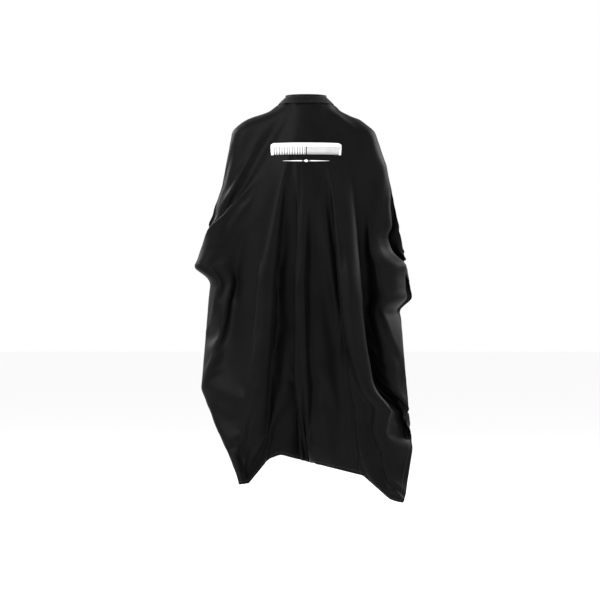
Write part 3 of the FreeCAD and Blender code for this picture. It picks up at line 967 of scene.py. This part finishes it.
def eased_to_outline(points, flat):
    """Eases the drape to the worn outline. Inner folds stay as the simulation left them."""
    for _ in range(EASE_ROUNDS):
        points = hem_eased(sides_eased(points), flat)
    return points


# ---------------------------------------------------------------- places on the finished cloth
class ClothMap:
    """Finds the point and normal of the hanging cloth at a place on the flat cut."""

    def __init__(self, worn, flat, quads):
        self.worn = worn
        self.quads = quads
        # the two slit edges part a little, so that a place beside the slit finds its own side
        spread = flat[:, :2].copy()
        spread[:, 0] += 1e-4 * flat[:, 2]
        self.spread = spread
        self.tree = BVHTree.FromPolygons([(u, v, 0.0) for u, v in spread], quads)
        self.front = BVHTree.FromPolygons([tuple(p) for p in worn], quads)
        mesh = bpy.data.meshes.new("normals")
        mesh.from_pydata([tuple(p) for p in worn], [], quads)
        normals = np.empty(len(worn) * 3)
        mesh.vertices.foreach_get("normal", normals)
        self.normals = normals.reshape(-1, 3)
        middle = self.normals[np.argmin(np.hypot(flat[:, 0], flat[:, 1] + 0.4))]
        self.normals *= -1 if middle[1] > 0 else 1
        bpy.data.meshes.remove(mesh)

    def at(self, x, v):
        """Point and outward normal at x across and v along the cut."""
        u = x / cut_width(v)
        _, _, face, _ = self.tree.find_nearest(Vector((u, v, 0)))
        corners = self.quads[face]
        a, b, _, d = (self.spread[k] for k in corners)
        edge_one, edge_two = b - a, d - a
        offset = np.array((u, v)) - a
        cross = edge_one[0] * edge_two[1] - edge_one[1] * edge_two[0]
        s = np.clip((offset[0] * edge_two[1] - offset[1] * edge_two[0]) / cross, 0, 1)
        t = np.clip((edge_one[0] * offset[1] - edge_one[1] * offset[0]) / cross, 0, 1)
        weights = ((1 - s) * (1 - t), s * (1 - t), s * t, (1 - s) * t)
        point = sum(w * self.worn[k] for w, k in zip(weights, corners))
        normal = sum(w * self.normals[k] for w, k in zip(weights, corners))
        return Vector(point), Vector(normal).normalized()

    def lifted(self, x, v, lift):
        point, normal = self.at(x, v)
        return point + normal * lift

    def on_chest(self, x, z, lift):
        """A point raised off the front of the worn cloth, at this X and height."""
        point, normal, _, _ = self.front.ray_cast(Vector((x, -1, z)), Vector((0, 1, 0)))
        return point + normal * math.copysign(lift, -normal.y)


def cape_piece(worn, flat, quads, material):
    """The cape itself: a thin closed cloth with its weave laid out by the flat sheet."""
    mesh = bpy.data.meshes.new("cape_sheet")
    mesh.from_pydata([tuple(p) for p in worn], [], quads)
    layer = mesh.uv_layers.new(name="weave")
    corner_points = np.empty(len(mesh.loops), int)
    mesh.loops.foreach_get("vertex_index", corner_points)
    cut = np.c_[flat[:, 0] * cut_width(flat[:, 1]), flat[:, 1]]
    layer.data.foreach_set("uv", cut[corner_points].ravel())
    mesh.polygons.foreach_set("use_smooth", [True] * len(mesh.polygons))
    mesh.materials.append(material)
    cape = bpy.data.objects.new("cape_sheet", mesh)
    scene.collection.objects.link(cape)
    thicken = cape.modifiers.new("thickness", "SOLIDIFY")
    thicken.thickness = CLOTH_THICK
    thicken.offset = 0
    finished = evaluated_mesh(cape)
    cape.modifiers.clear()
    cape.data = finished
    return cape


def edge_route():
    """The cut's outer edge from one side of the slit round to the other, and its inward way."""
    corners = [
        Vector((0.0, BACK)), Vector((LEFT, BACK)), Vector((LEFT, TAPER_FROM)),
        Vector((LEFT * HEM_SHARE, FRONT)), Vector((RIGHT * HEM_SHARE, FRONT)),
        Vector((RIGHT, TAPER_FROM)), Vector((RIGHT, BACK)), Vector((0.0, BACK)),
    ]
    inward = [Vector(way) for way in ((0, -1), (-1, 0), (-1, 0), (0, 1), (1, 0), (1, 0), (0, -1))]
    return list(zip(corners, corners[1:], inward))


def slit_route():
    """The two edges of the slit, from the neck to the back edge."""
    return [
        (Vector((side * 0.0003, SEAM_RADIUS + 0.004)), Vector((side * 0.0003, BACK)), Vector((side, 0)))
        for side in (1, -1)
    ]


def hem_piece(cloth, material):
    """The turned hem: a doubled strip along every free edge, on the inside, with a rolled lip."""
    maker = MeshMaker()
    section = [
        (-0.0006, -0.0002), (-0.0003, 0.0005), (0.0006, 0.0006), (0.0016, 0.0002),
        (0.0016, -0.0004), (HEM_WIDTH - 0.001, -0.0004), (HEM_WIDTH, -0.0006),
        (HEM_WIDTH - 0.0004, -0.0015), (HEM_WIDTH * 0.5, -0.0014), (0.0008, -0.0016), (-0.0004, -0.0011),
    ]
    for start, end, inward in edge_route() + slit_route():
        length = (end - start).length
        count = max(2, int(length / 0.006))
        rings = []
        for i in range(count + 1):
            here = start.lerp(end, i / count)
            edge, _ = cloth.at(*here)
            inside, _ = cloth.at(*(here + inward * 0.004))
            outward_way = (edge - inside) / 0.004
            ring = []
            for distance, lift in section:
                spot = here + inward * max(distance, 0)
                point = cloth.lifted(spot.x, spot.y, lift)
                if distance < 0:
                    point += outward_way * -distance
                ring.append(point)
            rings.append(ring)
        maker.rings(rings)
    return maker.make("cape_hem", material)


def hem_stitches(cloth, material):
    maker = MeshMaker()
    for start, end, inward in edge_route() + slit_route():
        along = (end - start).normalized()
        begin = start + inward * (HEM_WIDTH - 0.0025) + along * 0.002
        length = (end - start).length - 0.004
        for side in (1, -1):

            def place(distance, begin=begin, along=along, side=side):
                spot = begin + along * distance
                point, normal = cloth.at(spot.x, spot.y)
                lift = 0.0003 if side > 0 else 0.0015
                return point + normal * (side * lift), normal * side

            stitch_row(maker, place, length, pitch=0.0044, gap=0.0010, thickness=0.0006)
    return maker.make("cape_hem_stitching", material)


# ------------------------------------------------------------------------------------- the print
COMB_HEIGHT = -0.183
RULE_HEIGHT = -0.223


class Print:
    """Thin ink slabs on the chest, placed by X and by height above the print's centre."""

    def __init__(self, cloth, centre_height):
        self.cloth = cloth
        self.centre_height = centre_height
        self.maker = MeshMaker()

    def strip(self, left_line, right_line):
        """A slab between two lines of the same number of (x, y) points."""
        grid = [(x, self.centre_height + y) for x, y in left_line + right_line]
        top = [self.cloth.on_chest(x, z, 0.00060) for x, z in grid]
        foot = [self.cloth.on_chest(x, z, 0.00020) for x, z in grid]
        rows, count = len(left_line), len(grid)
        faces = []
        for j in range(rows - 1):
            faces.append((j, rows + j, rows + j + 1, j + 1))
            faces.append((count + j + 1, count + rows + j + 1, count + rows + j, count + j))
        border = list(range(rows)) + list(range(2 * rows - 1, rows - 1, -1))
        for a, b in zip(border, border[1:] + border[:1]):
            faces.append((a, b, count + b, count + a))
        self.maker.add(top + foot, faces)


def comb_print(cloth, material):
    """A barber's comb in white ink: spine, end guards, wide teeth and fine teeth."""
    ink = Print(cloth, COMB_HEIGHT)
    half, top, spine, foot = 0.1165, 0.020, 0.0075, -0.020
    # the spine, whose ends round off
    columns, rows, rounding = 96, 3, 0.012
    for k in range(columns):
        lines = []
        for x in (-half + 2 * half * k / columns, -half + 2 * half * (k + 1) / columns):
            head = top - 0.006 * max(0.0, (abs(x) - half + rounding) / rounding) ** 2
            lines.append([(x, head + (spine - head) * j / rows) for j in range(rows + 1)])
        ink.strip(*lines)
    guard = 0.0062
    for side in (-1, 1):
        outer, inner = side * half, side * (half - guard)
        heights = [spine - (spine - foot) * j / 6 for j in range(7)]
        taper = [0.0022 * (j / 6) ** 2 for j in range(7)]
        outside = [(outer - side * t, y) for t, y in zip(taper, heights)]
        inside = [(inner - side * 0.0004 * j, y) for j, y in enumerate(heights)]
        ink.strip(*((outside, inside) if side < 0 else (inside, outside)))
    gap = 0.0016
    for start, end, pitch in ((-half + guard + gap, -0.001, 0.0052), (0.002, half - guard - gap, 0.0032)):
        count = int((end - start) / pitch)
        pitch = (end - start) / count
        width = pitch * 0.56
        for k in range(count):
            x = start + pitch * k + (pitch - width) / 2
            heights = [spine - (spine - foot - 0.001) * j / 5 for j in range(6)]
            tip = [width * 0.28 * max(0.0, (j - 3) / 2) for j in range(6)]
            ink.strip([(x + t, y) for t, y in zip(tip, heights)],
                      [(x + width - t, y) for t, y in zip(tip, heights)])
    return ink.maker.make("chest_print_comb", material, smooth=False)


def rule_print(cloth, material):
    """A plain ornament under the comb: a lozenge between two tapering rules."""
    ink = Print(cloth, RULE_HEIGHT)
    half = 0.0765
    lozenge = 0.0078
    for side in (-1, 1):
        count = 24
        for k in range(count):
            xs = [0.014 + (half - 0.014) * (k + d) / count for d in (0, 1)]
            lines = []
            for x in xs:
                thick = 0.0013 * (1 - ((x - 0.014) / (half - 0.014)) ** 1.5) + 0.00025
                lines.append([(side * x, thick), (side * x, 0.0), (side * x, -thick)])
            ink.strip(*(lines if side > 0 else lines[::-1]))
        lines = []
        steps = 4
        for k in range(steps + 1):
            x = lozenge * (1 - k / steps)
            tall = max(lozenge * 0.62 * (1 - x / lozenge), 0.00012)
            lines.append([(side * x, tall * (1 - j / 2)) for j in range(5)])
        for a, b in zip(lines, lines[1:]):
            ink.strip(*((b, a) if side > 0 else (a, b)))
    for centre in (-0.0108, 0.0108):
        lines = [[(centre + way, 0.0009 * (1 - j)) for j in range(3)] for way in (-0.0009, 0.0009)]
        ink.strip(*lines)
    return ink.maker.make("chest_print_rule_mark", material, smooth=False)


# ------------------------------------------------------------------------------------- the label
def label_piece(material):
    """A blank woven label, sewn under the band at the back, that curls a little at its foot."""
    low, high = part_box("care_label")
    azimuth = math.atan2((low.y + high.y) / 2, (low.x + high.x) / 2)
    out = Vector((math.cos(azimuth), math.sin(azimuth), 0))
    across = Vector((-math.sin(azimuth), math.cos(azimuth), 0))
    width, height = 0.024, high.z - low.z
    top = out * math.hypot((low.x + high.x) / 2, (low.y + high.y) / 2) + Vector((0, 0, high.z))
    maker = MeshMaker()
    rings = []
    rows, columns = 16, 10
    for j in range(rows + 1):
        t = j / rows
        ring = []
        for face in (1, -1):
            order = range(columns + 1) if face > 0 else range(columns, -1, -1)
            for i in order:
                x = (i / columns - 0.5) * width
                bow = 0.0016 * (2 * x / width) ** 2 * t - 0.0035 * t ** 2
                ring.append(top + across * x + out * (bow + face * 0.00018) - Vector((0, 0, t * height)))
        rings.append(ring)
    maker.rings(rings)
    return maker.make("care_label_cloth", material)


def binding_piece(material):
    """Bias binding inside the band's lower edge."""
    maker = MeshMaker()
    rings = []
    width = 0.0075
    for i in range(BAND_COLUMNS + 1):
        azimuth = band_stretch(i / BAND_COLUMNS)
        ring = []
        for angle in ring_angles(16):
            across = squared(math.cos(angle), 0.6) * width / 2
            through = squared(math.sin(angle), 0.6) * 0.0004
            through += ripple(azimuth, across * 2, 0.00012)
            ring.append(on_band(azimuth, BAND_SLANT - width / 2 + 0.0008 + across, through - 0.0008))
        rings.append(ring)
    maker.rings(rings)
    return maker.make("neck_binding_cloth", material)


# ------------------------------------------------------------------------------------- materials
class Nodes:
    """Short ways to add and join shader nodes."""

    def __init__(self, name):
        self.material = bpy.data.materials.new(name)
        self.material.use_nodes = True
        self.tree = self.material.node_tree
        self.shader = self.tree.nodes["Principled BSDF"]

    def add(self, kind, settings=None, **inputs):
        node = self.tree.nodes.new(kind)
        for key, value in (settings or {}).items():
            setattr(node, key, value)
        self.fill(node, inputs)
        return node

    def fill(self, node, inputs):
        for key, value in inputs.items():
            self.feed(value, node.inputs[key.replace("_", " ")])

    def shade(self, **inputs):
        """Sets or joins the shader's own inputs."""
        self.fill(self.shader, inputs)

    def own_axes(self):
        return self.add("ShaderNodeTexCoord").outputs["Object"]

    def noise(self, place, scale, detail, roughness=0.5):
        node = self.add("ShaderNodeTexNoise", Vector=place, Scale=scale, Detail=detail, Roughness=roughness)
        return node.outputs["Fac"]

    def bump(self, height, strength, distance):
        return self.add("ShaderNodeBump", Height=height, Strength=strength, Distance=distance)

    def feed(self, value, socket):
        if isinstance(value, bpy.types.NodeSocket):
            self.tree.links.new(value, socket)
        else:
            socket.default_value = value

    def math(self, operation, first, second=0.0):
        node = self.tree.nodes.new("ShaderNodeMath")
        node.operation = operation
        self.feed(first, node.inputs[0])
        self.feed(second, node.inputs[1])
        return node.outputs[0]

    def ramp(self, value, stops):
        node = self.tree.nodes.new("ShaderNodeValToRGB")
        elements = node.color_ramp.elements
        while len(elements) < len(stops):
            elements.new(0.5)
        for element, (place, colour) in zip(elements, stops):
            element.position = place
            element.color = (*colour, 1)
        self.feed(value, node.inputs[0])
        return node.outputs[0]


def woven(name, dark, light, thread, sheen, shine, roughness, relief, by_sheet=False):
    """Plain-weave polyester: crossing threads, faint slubs, uneven dye and a painted highlight on the
    raised weave.

    by_sheet lays the threads out by the flat sheet; otherwise they follow the piece's own axes.
    """
    nodes = Nodes(name)
    if by_sheet:
        place = nodes.add("ShaderNodeUVMap", {"uv_map": "weave"}).outputs["UV"]
    else:
        place = nodes.own_axes()
    split = nodes.add("ShaderNodeSeparateXYZ", Vector=place)
    turns = 2 * math.pi / thread
    first = split.outputs["X"]
    second = split.outputs["Y"] if by_sheet else nodes.math("ADD", split.outputs["Z"], split.outputs["Y"])
    warp = nodes.math("SINE", nodes.math("MULTIPLY", first, turns))
    weft = nodes.math("SINE", nodes.math("MULTIPLY", second, turns))
    weave = nodes.math("MULTIPLY", warp, weft)
    slub = nodes.noise(place, 420.0, 3.0)
    dye = nodes.noise(place, 9.0, 4.0, 0.6)
    crease = nodes.noise(place, 34.0, 5.0, 0.55)
    # the weave term lightens the colour where the weave's bump rises: a painted highlight on the raised
    # threads and painted shade between them
    tone = nodes.math("ADD", nodes.math("MULTIPLY", weave, 0.16), nodes.math("MULTIPLY", dye, 0.7))
    tone = nodes.math("ADD", tone, nodes.math("MULTIPLY", slub, 0.3))
    rough = nodes.math("ADD", nodes.math("MULTIPLY", slub, 0.12), roughness - 0.06)
    rough = nodes.math("ADD", rough, nodes.math("MULTIPLY", dye, 0.06))
    height = nodes.math("ADD", nodes.math("MULTIPLY", weave, 0.35), slub)
    fine = nodes.bump(height, 0.35, thread * 0.3)
    soft = nodes.bump(crease, relief, 0.002)
    nodes.feed(fine.outputs["Normal"], soft.inputs["Normal"])
    nodes.shade(
        Base_Color=nodes.ramp(tone, [(0.30, dark), (0.80, light)]),
        Roughness=rough,
        Normal=soft.outputs["Normal"],
        Sheen_Weight=sheen,
        Sheen_Roughness=0.45,
        Specular_IOR_Level=shine,
    )
    return nodes.material


def thread_material(name, dark, light):
    """Twisted sewing thread."""
    nodes = Nodes(name)
    place = nodes.own_axes()
    twist = nodes.add("ShaderNodeTexWave", {"bands_direction": "DIAGONAL"}, Vector=place, Scale=900.0)
    fluff = nodes.noise(place, 700.0, 2.0)
    tone = nodes.math("MULTIPLY", nodes.math("ADD", twist.outputs["Fac"], fluff), 0.5)
    nodes.shade(
        Base_Color=nodes.ramp(tone, [(0.25, dark), (0.75, light)]),
        Normal=nodes.bump(tone, 0.4, 0.0001).outputs["Normal"],
        Roughness=0.45,
        Sheen_Weight=0.2,
    )
    return nodes.material


def snap_material():
    """Gunmetal plate with uneven wear and fine scratches."""
    nodes = Nodes("gunmetal_plate")
    place = nodes.own_axes()
    wear = nodes.noise(place, 520.0, 5.0, 0.6)
    scratch = nodes.noise(place, 2600.0, 2.0)
    nodes.shade(
        Base_Color=nodes.ramp(wear, [(0.35, (0.09, 0.09, 0.10)), (0.72, (0.15, 0.15, 0.16))]),
        Roughness=nodes.math("ADD", nodes.math("MULTIPLY", scratch, 0.18), 0.20),
        Normal=nodes.bump(scratch, 0.08, 0.00005).outputs["Normal"],
        Metallic=1.0,
    )
    return nodes.material


def ink_material():
    """White screen-print ink: the weave shows through, and it is thin in places."""
    nodes = Nodes("white_ink")
    place = nodes.own_axes()
    grain = nodes.noise(place, 1500.0, 3.0, 0.7)
    thin = nodes.noise(place, 160.0, 4.0, 0.6)
    tone = nodes.math("ADD", nodes.math("MULTIPLY", grain, 0.45), thin)
    nodes.shade(
        Base_Color=nodes.ramp(tone, [(0.42, (0.60, 0.60, 0.59)), (0.62, (0.86, 0.86, 0.85))]),
        Normal=nodes.bump(grain, 0.3, 0.0001).outputs["Normal"],
        Roughness=0.6,
    )
    return nodes.material


def stiffener_material():
    """Grey non-woven stiffener."""
    nodes = Nodes("stiffener")
    fibres = nodes.noise(nodes.own_axes(), 900.0, 6.0, 0.7)
    nodes.shade(
        Base_Color=nodes.ramp(fibres, [(0.3, (0.36, 0.36, 0.35)), (0.7, (0.62, 0.62, 0.60))]),
        Normal=nodes.bump(fibres, 0.5, 0.0002).outputs["Normal"],
        Roughness=0.9,
    )
    return nodes.material


def plain_material(name, colour, roughness):
    nodes = Nodes(name)
    nodes.shade(Base_Color=(*colour, 1), Roughness=roughness)
    return nodes.material


# ----------------------------------------------------------------------------------------- studio
# name, place, watts and width
LIGHTS = (
    ("key", (-2.6, -2.6, 1.6), 130, 1.6),
    ("fill", (2.8, -3.0, 0.4), 30, 2.0),
    ("left_edge", (-2.4, 1.9, 0.9), 70, 1.2),
    ("right_edge", (2.6, 1.6, 0.9), 70, 1.2),
)


def make_camera():
    camera = bpy.data.objects.new("camera", bpy.data.cameras.new("camera"))
    scene.collection.objects.link(camera)
    camera.location = (CAMERA_X, -CAMERA_DISTANCE, CAMERA_Z)
    camera.rotation_euler = (math.pi / 2, 0, 0)
    camera.data.sensor_width = 36
    camera.data.lens = 36 * CAMERA_DISTANCE / VIEW_WIDTH
    camera.data.clip_end = 60
    scene.camera = camera


def make_light(name, place, aim, power, width):
    lamp = bpy.data.lights.new(name, "AREA")
    lamp.energy = power
    lamp.shape = "DISK"
    lamp.size = width
    light = bpy.data.objects.new(name, lamp)
    scene.collection.objects.link(light)
    light.location = place
    light.rotation_euler = (Vector(aim) - Vector(place)).to_track_quat("-Z", "Y").to_euler()


def make_studio():
    """A pale floor, an even white world and four soft lights that pick out the folds."""
    floor_mesh = bpy.data.meshes.new("floor")
    reach = 30
    corners = [(-reach, -reach), (reach, -reach), (reach, reach), (-reach, reach)]
    floor_mesh.from_pydata([(x, y, FLOOR_HEIGHT) for x, y in corners], [], [(0, 1, 2, 3)])
    floor = bpy.data.objects.new("floor", floor_mesh)
    floor_mesh.materials.append(plain_material("pale_floor", (0.95, 0.95, 0.95), 0.9))
    scene.collection.objects.link(floor)
    world = bpy.data.worlds.new("studio")
    scene.world = world
    world.use_nodes = True
    background = world.node_tree.nodes["Background"]
    background.inputs["Color"].default_value = (1, 1, 1, 1)
    background.inputs["Strength"].default_value = 1.0
    scene.view_settings.view_transform = "Standard"
    chest = (0, 0, -0.45)
    for name, place, power, width in LIGHTS:
        make_light(name, place, chest, power, width)


# ------------------------------------------------------------------------------------- the object
def finish_piece(piece, nodes=(), body="root"):
    """Hides the CAD nodes that a piece stands for and attaches it to the body that it rides on."""
    if nodes:
        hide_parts(*nodes)
    if body:
        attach(piece, body)
    return piece


def bend_at_tab_root(piece):
    """Bakes the piece's transform into its mesh."""
    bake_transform(piece)


make_camera()
make_studio()

BLACK = (0.0016, 0.0016, 0.0018)
SOFT_BLACK = (0.0045, 0.0045, 0.0050)
TAPE_BLACK = (0.0100, 0.0100, 0.0106)
cape_cloth = woven(
    "black_taffeta", BLACK, SOFT_BLACK,
    thread=0.00042, sheen=0.01, shine=0.055, roughness=0.48, relief=0.10, by_sheet=True)
band_finish = woven(
    "black_band_cloth", BLACK, SOFT_BLACK,
    thread=0.00042, sheen=0.015, shine=0.065, roughness=0.54, relief=0.25)
binding_finish = woven(
    "black_bias_tape", BLACK, TAPE_BLACK,
    thread=0.00050, sheen=0.02, shine=0.10, roughness=0.60, relief=0.20)
label_finish = woven(
    "white_label_satin", (0.62, 0.62, 0.60), (0.80, 0.80, 0.78),
    thread=0.00030, sheen=0.2, shine=0.35, roughness=0.42, relief=0.10)
black_thread = thread_material("black_thread", (0.010, 0.010, 0.011), (0.030, 0.030, 0.032))
gunmetal = snap_material()
ink = ink_material()
stiffener = stiffener_material()

worn, flat, quads = draped_sheet()
worn = eased_to_outline(calmed_sleeves(worn, flat, quads), flat)
cloth = ClothMap(worn, flat, quads)

hem = finish_piece(hem_piece(cloth, cape_cloth))
hem_thread = finish_piece(hem_stitches(cloth, black_thread))
comb = finish_piece(comb_print(cloth, ink), ["chest_print"])
rule = finish_piece(rule_print(cloth, ink), ["chest_print_rule"])
cape = cape_piece(worn, flat, quads, cape_cloth)
finish_piece(cape, ["cape_cloth"])

outer = band_cloth("neckband_outer_cloth", BAND_THICK, BAND_THICK - LAYER, 1, band_finish)
finish_piece(outer, ["neckband_outer"])
lining = band_cloth("neckband_lining_cloth", 0.0, LAYER, -1, band_finish)
finish_piece(lining, ["neckband_lining"])
finish_piece(band_edges(band_finish))
finish_piece(band_stitches(black_thread))
finish_piece(binding_piece(binding_finish), ["neck_seam_binding"])
finish_piece(label_piece(label_finish), ["care_label"])

TAB_FACE = TAB_DEPTH + BAND_THICK / 2
TAB_BACK = TAB_DEPTH - BAND_THICK / 2
SNAPS = (
    ("snap_studs_turned", STUD_PROFILE, BAND_THICK, STUDS, "snap_studs", "root"),
    ("snap_posts_turned", POST_PROFILE, 0.0, STUDS, "snap_stud_posts", "root"),
    ("snap_caps_turned", CAP_PROFILE, TAB_FACE, CAPS, "snap_caps", "closure_tab"),
    ("snap_sockets_turned", SOCKET_PROFILE, TAB_BACK, CAPS, "snap_sockets", "closure_tab"),
)
for name, profile, depth, count, node, body in SNAPS:
    snaps = snap_pieces(name, profile, depth, count, gunmetal)
    finish_piece(snaps, [node], body=body)

tab = tab_cloth(band_finish)
tab_layers = ["closure_tab_outer", "closure_tab_lining", "closure_tab_interlining"]
finish_piece(tab, tab_layers, body=None)
bend_at_tab_root(tab)
tab_thread = finish_piece(tab_stitches(black_thread), body=None)
bend_at_tab_root(tab_thread)

filling = frame["nodes"]["neckband_interlining"]
filling.data.materials.clear()
filling.data.materials.append(stiffener)
